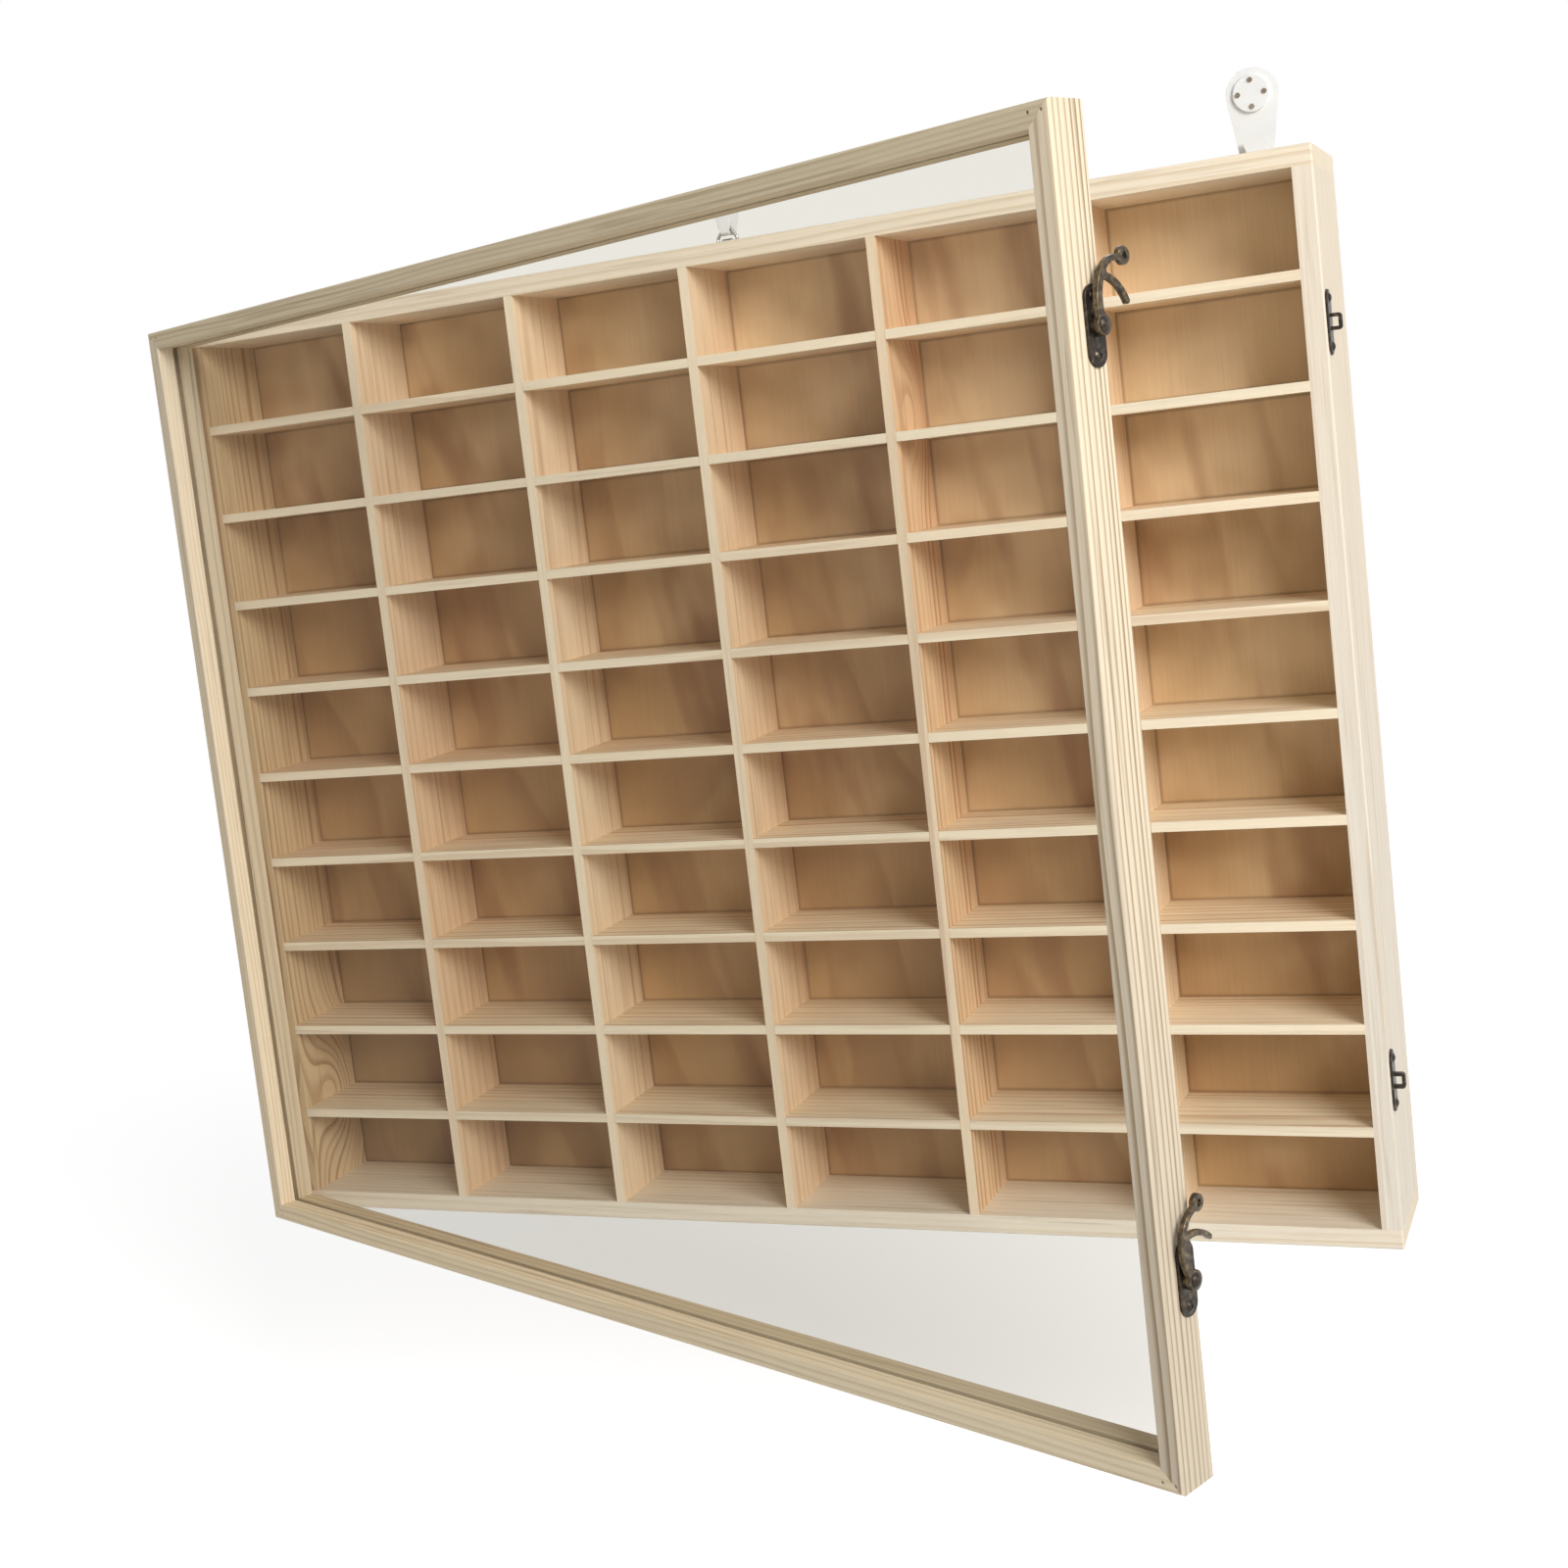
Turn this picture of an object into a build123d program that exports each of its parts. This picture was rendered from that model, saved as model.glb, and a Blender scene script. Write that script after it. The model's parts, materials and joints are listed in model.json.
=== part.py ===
from build123d import *
import os
from math import acos, atan2, cos, degrees, hypot, pi, radians, sin, tan

# Wall-hung display case for small model cars: an open lattice of sixty cells in a pine box,
# a mitred door with a clear pane, two swing-hook latches, two small hinges and three hangers.
# Millimetres. x runs to the right as seen from the front, y into the wall, z up.
# The origin is the centre of the centre wall hook's back face, on the wall.

# Lattice of cells
COLUMNS = 6
ROWS = 10
CELL_WIDTH = 81.5
CELL_HEIGHT = 38.0
CELL_DEPTH = 43.0
LATTICE = 4.0  # thickness of a divider and of a shelf
LAP_CLEARANCE = 0.1  # on each side of a halved joint, and at its end

# Case
BOARD = 8.0  # thickness of the four outer boards
BOARD_ROUND = 0.8  # eased outer edges
PANEL = 4.0  # plywood back
PANEL_RECESS = 10.0  # open depth behind the plywood back
PANEL_GROOVE = 3.0  # depth of the groove that the plywood sits in
PANEL_CLEARANCE = 0.2  # at the bottom of the groove

# Door
DOOR_THICKNESS = 18.0
DOOR_FACE = 8.0  # width of the frame seen from the front
DOOR_ROUND = 1.5  # outer edges of the frame
DOOR_INNER_ROUND = 0.5  # inner front edge of the frame
DOOR_GAP = 0.4  # between the closed door and the case
DOOR_OPEN = 21.8  # degrees, as it stands at rest
PANE = 2.0
PANE_GROOVE = 4.0
PANE_CLEARANCE = 0.2  # each side of the pane in its groove
BRAD_RADIUS = 0.55
BRAD_LENGTH = 12.0
BRAD_SUNK = 0.3
BRAD_FROM_END = 3.1  # from the top or bottom edge of the door
BRAD_FROM_SIDE = (2.6, 7.5)  # from its left or right edge, one either side of the mitre

# Butt hinges on the left side
HINGE_INSET = 67.5  # from the top and from the bottom of the case to a hinge's middle
HINGE_HEIGHT = 30.0
HINGE_LEAF = 8.5  # from the pin to the leaf's free edge
HINGE_SHEET = 0.9
KNUCKLES = 5
KNUCKLE_RADIUS = 1.6
KNUCKLE_CLEARANCE = 0.15  # between a knuckle and what turns beside it
HINGE_PIN_RADIUS = 0.8
HINGE_PIN_HEAD = 0.8  # thickness
HINGE_PIN_HEAD_SHARE = 0.8  # of a knuckle's radius
PIN_CLEARANCE = 0.05
HINGE_SCREW_PITCH = 18.0

# Swing-hook latches on the right side
UPPER_LATCH_DROP = 66.9  # from the top of the case to the upper pivot
LOWER_LATCH_RISE = 67.8  # from the bottom of the case to the lower pivot
LATCH_PLATE_WIDTH = 9.0
LATCH_PLATE_HEIGHT = 25.0
LATCH_PLATE = 1.0
LATCH_PLATE_ROUND = 0.4  # its outer edges, and a keeper's
LATCH_MARGIN = 1.2  # from the back of the door to the plate
LATCH_SCREW_PITCH = 18.0
HUB_RADIUS = 3.4
HUB_BOSS = 1.2  # stands off the plate and clears the screw heads
LATCH_PIN_RADIUS = 1.5
LATCH_PIN_HEAD = 2.5
LATCH_PIN_DOME = 1.1
LEVER = 1.8  # thickness of the hook lever
LEVER_ROUND = 0.4
LEVER_SLACK = 0.15  # along the pin, at each side of the lever
PRONG_INNER = 13.8  # radius of the prong's catching side about the pivot
PRONG_OUTER = 15.8
PRONG_ROOT = -8.0  # degrees from the lever's upright, inside the stem
PRONG_TIP = 51.0
STEM_STATIONS = ((0.0, 0.0, 1.9), (-2.7, 7.5, 1.5), (-2.3, 14.2, 1.35))  # x, y, half width
TAIL_END = (7.2, 21.6, 1.1)
TAIL_HEADING = 30.0  # degrees above the direction of the case
CURL_PLACE = (8.7, 22.6)
CURL_RADIUS = 2.9
CURL_HOLE = 1.2
CROTCH_ROUNDS = {"tail": 0.7, "stem": 0.6, "hub": 1.2, "curl": 0.8}
UPPER_LEAN = 12.0  # degrees that the upper lever leans towards the case at rest
LOWER_LEAN = -9.0

# Keepers on the case
KEEPER_REACH = 12.0  # from the pivot to the middle of the keeper, with the door shut
KEEPER_HEIGHT = 25.0
KEEPER_SCREW_PITCH = 18.4
BAIL_WIDTH = 2.1
BAIL_HEIGHT = 6.4
BAIL_STAND = 5.2  # from the wood to the outside of the bail
BAIL_BAR = 1.4

# Wood screws
SCREW_HEAD_RADIUS = 2.0
SCREW_HEAD = 0.9
SCREW_RADIUS = 0.9
SCREW_LENGTH = 6.0
SCREW_CROSS = 2.0  # across the cross recess
SCREW_SLOT = 0.4
SCREW_RECESS = 0.5  # depth of the cross recess
SCREW_CLEARANCE = 0.03

# Hangers on the back of the top board
HANGER_INSET = 29.0  # from the side of the case to an outer hanger
NOTCH_WIDTH = 14.5
NOTCH_DEPTH = 4.6
NOTCH_ROUND = 2.0
STRAP_WIDTH = 4.6
STRAP = 0.8
STRAP_ROUND = 2.0  # lower corners
STRAP_LOOP_RADIUS = 1.7
STRAP_HOLES = (4.5, 9.5)  # below the middle of the loop
STRAP_END = 3.0  # past the lower hole
STRAP_HOLE_CLEARANCE = 0.3
HANGER_SCREW_LENGTH = 5.0
SIDE_SCREW_DROP = 5.1  # outer hangers' screws below the top of the case
RING_WIRE = 0.75  # radius
RING_BASE = 12.0
RING_HEIGHT = 8.7
RING_BEND = 1.5
RING_REST = 0.1  # from a hung ring's legs to the hook that carries it
LEFT_RING_DROP = 166.0  # degrees that the unhung left ring has swung down from upright

# Wall hooks: a larger one at the right and a small one at the centre
HOOK_PLATE = 1.7
HOOK_GAP = 2.6  # room for the wire
HOOK_LIP = 1.7
HOOK_CORNER = 0.8
HOOK_PAD = 1.4  # raised round pad that holds the pins
HOOK_PAD_ROUND = 0.6
RIGHT_DISC_RADIUS = 10.3
RIGHT_PAD_RADIUS = 7.5
RIGHT_DROP = 26.0  # from the middle of the disc to where the wire lies
RIGHT_FLOOR = 1.6
RIGHT_LIP_HEIGHT = 7.6
RIGHT_LIP_WIDTHS = (4.0, 9.0)  # at the bottom and at the top
RIGHT_FOOT_WIDTH = 12.4
RIGHT_PINS = 4
RIGHT_PIN_CIRCLE = 5.25
CENTRE_DISC_RADIUS = 7.0
CENTRE_PAD_RADIUS = 5.0
CENTRE_DROP = 13.4
CENTRE_FLOOR = 1.2
CENTRE_LIP_HEIGHT = 5.6
CENTRE_LIP_WIDTHS = (3.6, 5.6)
CENTRE_FOOT_WIDTH = 7.0
CENTRE_PINS = 3
CENTRE_PIN_CIRCLE = 2.9
NAIL_RADIUS = 0.6
NAIL_HEAD_RADIUS = 1.0
NAIL_HEAD = 0.5
NAIL_REACH = 9.0  # into the wall

# Places worked out from the sizes above
INNER_WIDTH = COLUMNS * CELL_WIDTH + (COLUMNS - 1) * LATTICE
INNER_HEIGHT = ROWS * CELL_HEIGHT + (ROWS - 1) * LATTICE
CASE_WIDTH = INNER_WIDTH + 2 * BOARD
CASE_HEIGHT = INNER_HEIGHT + 2 * BOARD
CASE_DEPTH = CELL_DEPTH + PANEL + PANEL_RECESS
RIGHT = CASE_WIDTH / 2
FRONT = -CASE_DEPTH
PANEL_FRONT = FRONT + CELL_DEPTH
DOOR_BACK = FRONT - DOOR_GAP
DOOR_FRONT = DOOR_BACK - DOOR_THICKNESS

RING_SLOPE = atan2(RING_BASE / 2, RING_HEIGHT)  # half the angle at the top of the ring


def lip_half_width(widths, floor, lip_height, above_base):
    """Half the width of a hook's lip at a height above its underside, between its corners."""
    low, high = (width / 2 - HOOK_CORNER for width in widths)
    slant = atan2(high - low, floor + lip_height - 2 * HOOK_CORNER)
    return low + (above_base - HOOK_CORNER) * tan(slant) + HOOK_CORNER / cos(slant)


def bar_below_hook(widths, floor, lip_height):
    """How far a hung ring's bar lies below the floor of the hook that its legs straddle."""
    half = lip_half_width(widths, floor, lip_height, floor) + RING_WIRE / cos(RING_SLOPE) + RING_REST
    return RING_HEIGHT - half / tan(RING_SLOPE)


CENTRE_LOOP = -CENTRE_DROP - bar_below_hook(CENTRE_LIP_WIDTHS, CENTRE_FLOOR, CENTRE_LIP_HEIGHT)
TOP = CENTRE_LOOP - STRAP_HOLES[1] + BOARD / 2
BOTTOM = TOP - CASE_HEIGHT
SIDE_LOOP = TOP - SIDE_SCREW_DROP + STRAP_HOLES[0]
RIGHT_HOOK_Z = SIDE_LOOP + RIGHT_DROP + bar_below_hook(RIGHT_LIP_WIDTHS, RIGHT_FLOOR, RIGHT_LIP_HEIGHT)
HANGER_X = RIGHT - HANGER_INSET
LOOP_Y = -NOTCH_DEPTH + STRAP_LOOP_RADIUS

HINGE_X = -RIGHT - KNUCKLE_RADIUS - KNUCKLE_CLEARANCE
HINGE_Y = FRONT - DOOR_GAP / 2
HINGE_HEIGHTS = {"upper": TOP - HINGE_INSET, "lower": BOTTOM + HINGE_INSET}
LATCH_HEIGHTS = {"upper": TOP - UPPER_LATCH_DROP, "lower": BOTTOM + LOWER_LATCH_RISE}
LATCH_LEANS = {"upper": UPPER_LEAN, "lower": LOWER_LEAN}
PIVOT_Y = DOOR_BACK - LATCH_MARGIN - LATCH_PLATE_WIDTH / 2
KEEPER_Y = PIVOT_Y + KEEPER_REACH
LEVER_BASE = LATCH_PLATE + HUB_BOSS + LEVER_SLACK
OUTWARD = {"left": (-1, 0, 0), "right": (1, 0, 0), "back": (0, 1, 0), "front": (0, -1, 0)}
SHELF_HEIGHTS = [TOP - BOARD - row * CELL_HEIGHT - (row - 0.5) * LATTICE for row in range(1, ROWS)]
DIVIDER_XS = [-INNER_WIDTH / 2 + column * CELL_WIDTH + (column - 0.5) * LATTICE
              for column in range(1, COLUMNS)]


def block(x, y, z):
    """A box between pairs of faces, given as (low, high) for each direction."""
    spans = (x, y, z)
    size = [high - low for low, high in spans]
    middle = [(high + low) / 2 for low, high in spans]
    return Pos(*middle) * Box(*size)


def seat(origin, side):
    """The place on a face at origin whose outward direction is one of the four sides."""
    return Plane(origin=origin, x_dir=(0, 0, 1), z_dir=OUTWARD[side]).location


def dome(radius, height, base=0.0):
    """A round cap's outline from its rim to its top, at (distance from the axis, height)."""
    sphere = (radius ** 2 + height ** 2) / (2 * height)
    half = atan2(radius, sphere - height) / 2
    middle = (sphere * sin(half), base + sphere * cos(half) - sphere + height)
    return ThreePointArc((radius, base), middle, (0, base + height))


def screw(length=SCREW_LENGTH):
    """A domed cross-head wood screw, the underside of its head at the origin, pointing down."""
    point = 2 * SCREW_RADIUS
    outline = Polyline((0, SCREW_HEAD), (0, -length), (SCREW_RADIUS, point - length),
                       (SCREW_RADIUS, 0), (SCREW_HEAD_RADIUS, 0))
    solid = revolve(Plane.XZ * make_face(outline + dome(SCREW_HEAD_RADIUS, SCREW_HEAD)), Axis.Z)
    for turn in (45, 135):
        solid -= Pos(0, 0, SCREW_HEAD) * Rot(0, 0, turn) * Box(
            SCREW_CROSS, SCREW_SLOT, 2 * SCREW_RECESS)
    return solid


def pilot(length=SCREW_LENGTH):
    """The hole that a screw needs, as a cutter."""
    radius = SCREW_RADIUS + SCREW_CLEARANCE
    depth = length + SCREW_CLEARANCE
    return Pos(0, 0, -depth / 2) * Cylinder(radius, depth)


def group(solids):
    return Compound(children=list(solids))


# Screw places, used for the screws, the holes in the plates and the pilot holes in the wood

def latch_screw_places(z, surface):
    half = LATCH_SCREW_PITCH / 2
    return [seat((RIGHT + surface, PIVOT_Y, z + offset), "right") for offset in (-half, half)]


def keeper_screw_places(z, surface):
    half = KEEPER_SCREW_PITCH / 2
    return [seat((RIGHT + surface, KEEPER_Y, z + offset), "right") for offset in (-half, half)]


def hinge_screw_places(z, surface, towards):
    """Two places on a hinge leaf; towards is 1 for the case's leaf and -1 for the door's."""
    y = HINGE_Y + towards * (KNUCKLE_RADIUS + HINGE_LEAF) / 2
    half = HINGE_SCREW_PITCH / 2
    return [seat((-RIGHT - surface, y, z + offset), "left") for offset in (-half, half)]


def hanger_screw_place(x):
    z = TOP - BOARD / 2 if x == 0 else TOP - SIDE_SCREW_DROP
    return seat((x, STRAP - NOTCH_DEPTH, z), "back")


HANGER_XS = {"left": -HANGER_X, "centre": 0.0, "right": HANGER_X}


# Case

def end_board(low, high):
    """The top or bottom board, over the ends of the side boards, before its cuts."""
    outer = 1 if high == TOP else 0
    board = block((-RIGHT, RIGHT), (FRONT, 0), (low, high))
    face = board.faces().sort_by(Axis.Z)[-outer]
    board = fillet(face.edges() + board.edges().filter_by(Axis.Z), BOARD_ROUND)
    groove_end = INNER_WIDTH / 2 + PANEL_GROOVE
    inner_face = low if outer else high
    groove = block((-groove_end, groove_end), (PANEL_FRONT, PANEL_FRONT + PANEL),
                   (inner_face - PANEL_GROOVE, inner_face + PANEL_GROOVE))
    return board - groove


def top_board():
    board = end_board(TOP - BOARD, TOP)
    notch = extrude(RectangleRounded(NOTCH_WIDTH, 2 * NOTCH_DEPTH, NOTCH_ROUND), BOARD)
    for x in HANGER_XS.values():
        board -= Pos(x, 0, TOP - BOARD) * notch
        board -= hanger_screw_place(x) * pilot(HANGER_SCREW_LENGTH)
    return board


def side_board(side):
    """A side board between the end boards, with its panel groove and pilot holes."""
    inner = RIGHT - BOARD
    board = block((inner, RIGHT), (FRONT, 0), (BOTTOM + BOARD, TOP - BOARD))
    outer_edges = board.faces().sort_by(Axis.X)[-1].edges().filter_by(Axis.Z)
    board = fillet(outer_edges, BOARD_ROUND)
    board -= block((inner - PANEL_GROOVE, inner + PANEL_GROOVE),
                   (PANEL_FRONT, PANEL_FRONT + PANEL), (BOTTOM, TOP))
    if side == "left":
        board = mirror(board, Plane.YZ)
        places = [place for z in HINGE_HEIGHTS.values() for place in hinge_screw_places(z, 0, 1)]
    else:
        places = [place for z in LATCH_HEIGHTS.values() for place in keeper_screw_places(z, 0)]
    for place in places:
        board -= place * pilot()
    return board


def back_panel():
    reach = PANEL_GROOVE - PANEL_CLEARANCE
    half = INNER_WIDTH / 2 + reach
    return block((-half, half), (PANEL_FRONT, PANEL_FRONT + PANEL),
                 (BOTTOM + BOARD - reach, TOP - BOARD + reach))


def divider(x):
    """An upright, halved from its back edge over every shelf."""
    half = LATTICE / 2
    body = block((x - half, x + half), (FRONT, PANEL_FRONT), (BOTTOM + BOARD, TOP - BOARD))
    lap = PANEL_FRONT - CELL_DEPTH / 2 - LAP_CLEARANCE
    room = half + LAP_CLEARANCE
    for z in SHELF_HEIGHTS:
        body -= block((x - room, x + room), (lap, PANEL_FRONT), (z - room, z + room))
    return body


def shelf(z):
    """A shelf, halved from its front edge under every divider."""
    half = LATTICE / 2
    body = block((-INNER_WIDTH / 2, INNER_WIDTH / 2), (FRONT, PANEL_FRONT), (z - half, z + half))
    lap = FRONT + CELL_DEPTH / 2 + LAP_CLEARANCE
    room = half + LAP_CLEARANCE
    for x in DIVIDER_XS:
        body -= block((x - room, x + room), (FRONT, lap), (z - room, z + room))
    return body


# Door, drawn shut and then swung open about its hinges

def swing_open(shape):
    return shape.rotate(Axis((HINGE_X, HINGE_Y, 0), (0, 0, 1)), -DOOR_OPEN)


def frame_member(length):
    """A mitred length of frame: x along it, y inwards from the outer edge, z from back to front."""
    section = Pos(DOOR_FACE / 2, DOOR_THICKNESS / 2) * Rectangle(DOOR_FACE, DOOR_THICKNESS)
    outer = section.vertices().filter_by_position(Axis.X, -0.1, 0.1)
    section = fillet(outer, DOOR_ROUND)
    inner = section.vertices().sort_by(Axis.X).sort_by(lambda v: v.X + v.Y)[-1]
    section = fillet(inner, DOOR_INNER_ROUND)
    groove = Rectangle(2 * PANE_GROOVE, PANE + 2 * PANE_CLEARANCE)
    section -= Pos(DOOR_FACE, DOOR_THICKNESS / 2) * groove
    bar = extrude(Plane.YZ * section, length / 2, both=True)
    half = length / 2
    trapezium = Polyline((-half, 0), (half, 0), (half - DOOR_FACE, DOOR_FACE),
                         (DOOR_FACE - half, DOOR_FACE), close=True)
    return bar & extrude(make_face(trapezium), DOOR_THICKNESS)


def brad_places():
    """Points on the front of the door, two at each corner, either side of the mitre."""
    return [(across * (RIGHT - inset), height)
            for across in (-1, 1)
            for height in (TOP - BRAD_FROM_END, BOTTOM + BRAD_FROM_END)
            for inset in BRAD_FROM_SIDE]


def brad_cutter(x, z, radius):
    return Pos(x, DOOR_FRONT + BRAD_LENGTH / 2, z) * Rot(90, 0, 0) * Cylinder(radius, BRAD_LENGTH)


def door_member(name):
    """A rail or stile in its place on the shut door, with its brad and screw holes."""
    middle_z = (TOP + BOTTOM) / 2
    lay = {
        "top_rail": ((0, DOOR_BACK, TOP), (-1, 0, 0), CASE_WIDTH),
        "bottom_rail": ((0, DOOR_BACK, BOTTOM), (1, 0, 0), CASE_WIDTH),
        "left_stile": ((-RIGHT, DOOR_BACK, middle_z), (0, 0, -1), CASE_HEIGHT),
        "right_stile": ((RIGHT, DOOR_BACK, middle_z), (0, 0, 1), CASE_HEIGHT),
    }
    origin, along, length = lay[name]
    place = Plane(origin=origin, x_dir=along, z_dir=OUTWARD["front"]).location
    member = place * frame_member(length)
    for x, z in brad_places():
        member -= brad_cutter(x, z, BRAD_RADIUS + SCREW_CLEARANCE)
    screws = []
    if name == "left_stile":
        screws = [spot for z in HINGE_HEIGHTS.values() for spot in hinge_screw_places(z, 0, -1)]
    if name == "right_stile":
        screws = [spot for z in LATCH_HEIGHTS.values() for spot in latch_screw_places(z, 0)]
    for spot in screws:
        member -= spot * pilot()
    return swing_open(member)


def corner_brads():
    sunk = Pos(0, BRAD_SUNK / 2, 0)
    length = BRAD_LENGTH - BRAD_SUNK
    brad = Rot(90, 0, 0) * Cylinder(BRAD_RADIUS, length)
    middle = DOOR_FRONT + BRAD_LENGTH / 2
    return group(swing_open(sunk * Pos(x, middle, z) * brad) for x, z in brad_places())


def pane():
    rim = DOOR_FACE - PANE_GROOVE + PANE_CLEARANCE
    middle = (DOOR_BACK + DOOR_FRONT) / 2
    sheet = block((rim - RIGHT, RIGHT - rim), (middle - PANE / 2, middle + PANE / 2),
                  (BOTTOM + rim, TOP - rim))
    return swing_open(sheet)


# Hinges

def hinge_leaf(z, towards):
    """A leaf with every other knuckle; towards is 1 for the case's leaf and -1 for the door's."""
    step = HINGE_HEIGHT / KNUCKLES
    face = -RIGHT
    outer = face - HINGE_SHEET
    foot = z - HINGE_HEIGHT / 2
    reach = sorted((HINGE_Y, HINGE_Y + towards * HINGE_LEAF))
    sheet = block((outer, face), reach, (foot, foot + HINGE_HEIGHT))
    own = 0 if towards == 1 else 1
    back_off = KNUCKLE_RADIUS + 2 * KNUCKLE_CLEARANCE
    for index in range(KNUCKLES):
        low = foot + index * step
        if index % 2 == own:
            middle = Pos(HINGE_X, HINGE_Y, low + step / 2)
            height = step - 2 * KNUCKLE_CLEARANCE
            sheet += middle * Cylinder(KNUCKLE_RADIUS, height)
        else:
            relief = sorted((HINGE_Y, HINGE_Y + towards * back_off))
            sheet -= block((outer, face), relief, (low, low + step))
    bore = HINGE_PIN_RADIUS + PIN_CLEARANCE
    sheet -= Pos(HINGE_X, HINGE_Y, z) * Cylinder(bore, HINGE_HEIGHT)
    for spot in hinge_screw_places(z, 0, towards):
        sheet -= spot * Cylinder(SCREW_RADIUS + SCREW_CLEARANCE, 4 * HINGE_SHEET)
    return sheet


def hinge_pin(z):
    """A straight pin with a small round head at each end."""
    head = KNUCKLE_RADIUS * HINGE_PIN_HEAD_SHARE
    shank = Cylinder(HINGE_PIN_RADIUS, HINGE_HEIGHT)
    for end in (-1, 1):
        middle = end * (HINGE_HEIGHT + HINGE_PIN_HEAD) / 2
        shank += Pos(0, 0, middle) * Cylinder(head, HINGE_PIN_HEAD)
    return Pos(HINGE_X, HINGE_Y, z) * shank


def hinge_screws(towards):
    for z in HINGE_HEIGHTS.values():
        for spot in hinge_screw_places(z, HINGE_SHEET, towards):
            yield spot * screw()


# Latches

def about_pivot(radius, angle):
    """A point of the lever at an angle in degrees from its upright, turning towards the case."""
    return (radius * sin(radians(angle)), radius * cos(radians(angle)))


def prong():
    """A band round the pivot with a rounded tip."""
    middle = (PRONG_INNER + PRONG_OUTER) / 2
    bulge = degrees((PRONG_OUTER - PRONG_INNER) / 2 / middle)
    angles = (PRONG_ROOT, (PRONG_ROOT + PRONG_TIP) / 2, PRONG_TIP)
    inner = ThreePointArc(*(about_pivot(PRONG_INNER, angle) for angle in angles))
    outer = ThreePointArc(*(about_pivot(PRONG_OUTER, angle) for angle in angles))
    tip = ThreePointArc(inner @ 1, about_pivot(middle, PRONG_TIP + bulge), outer @ 1)
    return make_face(inner + tip + outer + Line(inner @ 0, outer @ 0))


def limb():
    """The stem and tail between two edges, each of two arcs that run smoothly into each other."""
    x, y, half = TAIL_END
    heading = radians(TAIL_HEADING)
    stems = []
    tails = []
    for side in (-1, 1):
        stem = ThreePointArc(*((u + side * width, v) for u, v, width in STEM_STATIONS))
        end = (x + side * half * sin(heading), y - side * half * cos(heading))
        stems.append(stem)
        tails.append(TangentArc(stem @ 1, end, tangent=stem % 1))
    foot = Line(stems[0] @ 0, stems[1] @ 0)
    head = Line(tails[0] @ 1, tails[1] @ 1)
    return make_face(stems[0] + tails[0] + head + tails[1] + stems[1] + foot)


def lever():
    """The hook lever, flat on z = 0 with its pivot at the origin: x towards the case, y up."""
    curl_x, curl_y = CURL_PLACE
    face = Circle(HUB_RADIUS) + limb() + prong() + Pos(*CURL_PLACE) * Circle(CURL_RADIUS)
    corners = [
        (about_pivot(PRONG_OUTER, 0), CROTCH_ROUNDS["tail"]),
        (about_pivot(PRONG_INNER, PRONG_ROOT / 2), CROTCH_ROUNDS["stem"]),
        ((-HUB_RADIUS, HUB_RADIUS / 2), CROTCH_ROUNDS["hub"]),
        ((0, HUB_RADIUS), CROTCH_ROUNDS["hub"]),
        ((curl_x - CURL_RADIUS, curl_y), CROTCH_ROUNDS["curl"]),
        ((curl_x - CURL_RADIUS * 0.7, curl_y - CURL_RADIUS * 0.7), CROTCH_ROUNDS["curl"]),
    ]
    for near, radius in corners:
        face = fillet(face.vertices().sort_by_distance((*near, 0))[0], radius)
    body = extrude(face, LEVER)
    body = fillet(body.faces().sort_by(Axis.Z)[-1].edges(), LEVER_ROUND)
    body -= Pos(*CURL_PLACE) * Cylinder(CURL_HOLE, 4 * LEVER)
    return body - Cylinder(LATCH_PIN_RADIUS + PIN_CLEARANCE, 4 * LEVER)


def latch_frame(z, height, lean=0.0):
    """The place of a latch piece: its x towards the case, its y up, its z out of the door."""
    out = Plane(origin=(RIGHT + height, PIVOT_Y, z), x_dir=(0, 1, 0), z_dir=OUTWARD["right"])
    return out.location * Rot(0, 0, -lean)


def latch_plate(z):
    """A plate with rounded ends and a raised boss that the lever turns on."""
    slot = SlotOverall(LATCH_PLATE_HEIGHT, LATCH_PLATE_WIDTH, rotation=90)
    plate = extrude(slot, LATCH_PLATE)
    plate = fillet(plate.faces().sort_by(Axis.Z)[-1].edges(), LATCH_PLATE_ROUND)
    plate += Pos(0, 0, LATCH_PLATE) * extrude(Circle(HUB_RADIUS), HUB_BOSS)
    bore = LATCH_PIN_RADIUS + PIN_CLEARANCE
    plate -= Cylinder(bore, 6 * LATCH_PLATE)
    for offset in (-1, 1):
        plate -= Pos(0, offset * LATCH_SCREW_PITCH / 2) * Cylinder(
            SCREW_RADIUS + SCREW_CLEARANCE, 4 * LATCH_PLATE)
    return swing_open(latch_frame(z, 0) * plate)


def latch_pin(z):
    """The rivet through the plate and the lever, with a domed head."""
    top = LEVER_BASE + LEVER + LEVER_SLACK
    outline = Polyline((0, top + LATCH_PIN_DOME), (0, 0), (LATCH_PIN_RADIUS, 0),
                       (LATCH_PIN_RADIUS, top), (LATCH_PIN_HEAD, top))
    cap = dome(LATCH_PIN_HEAD, LATCH_PIN_DOME, top)
    rivet = revolve(Plane.XZ * make_face(outline + cap), Axis.Z)
    return swing_open(latch_frame(z, 0) * rivet)


def latch_screws():
    for z in LATCH_HEIGHTS.values():
        for spot in latch_screw_places(z, LATCH_PLATE):
            yield swing_open(spot * screw())


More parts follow.
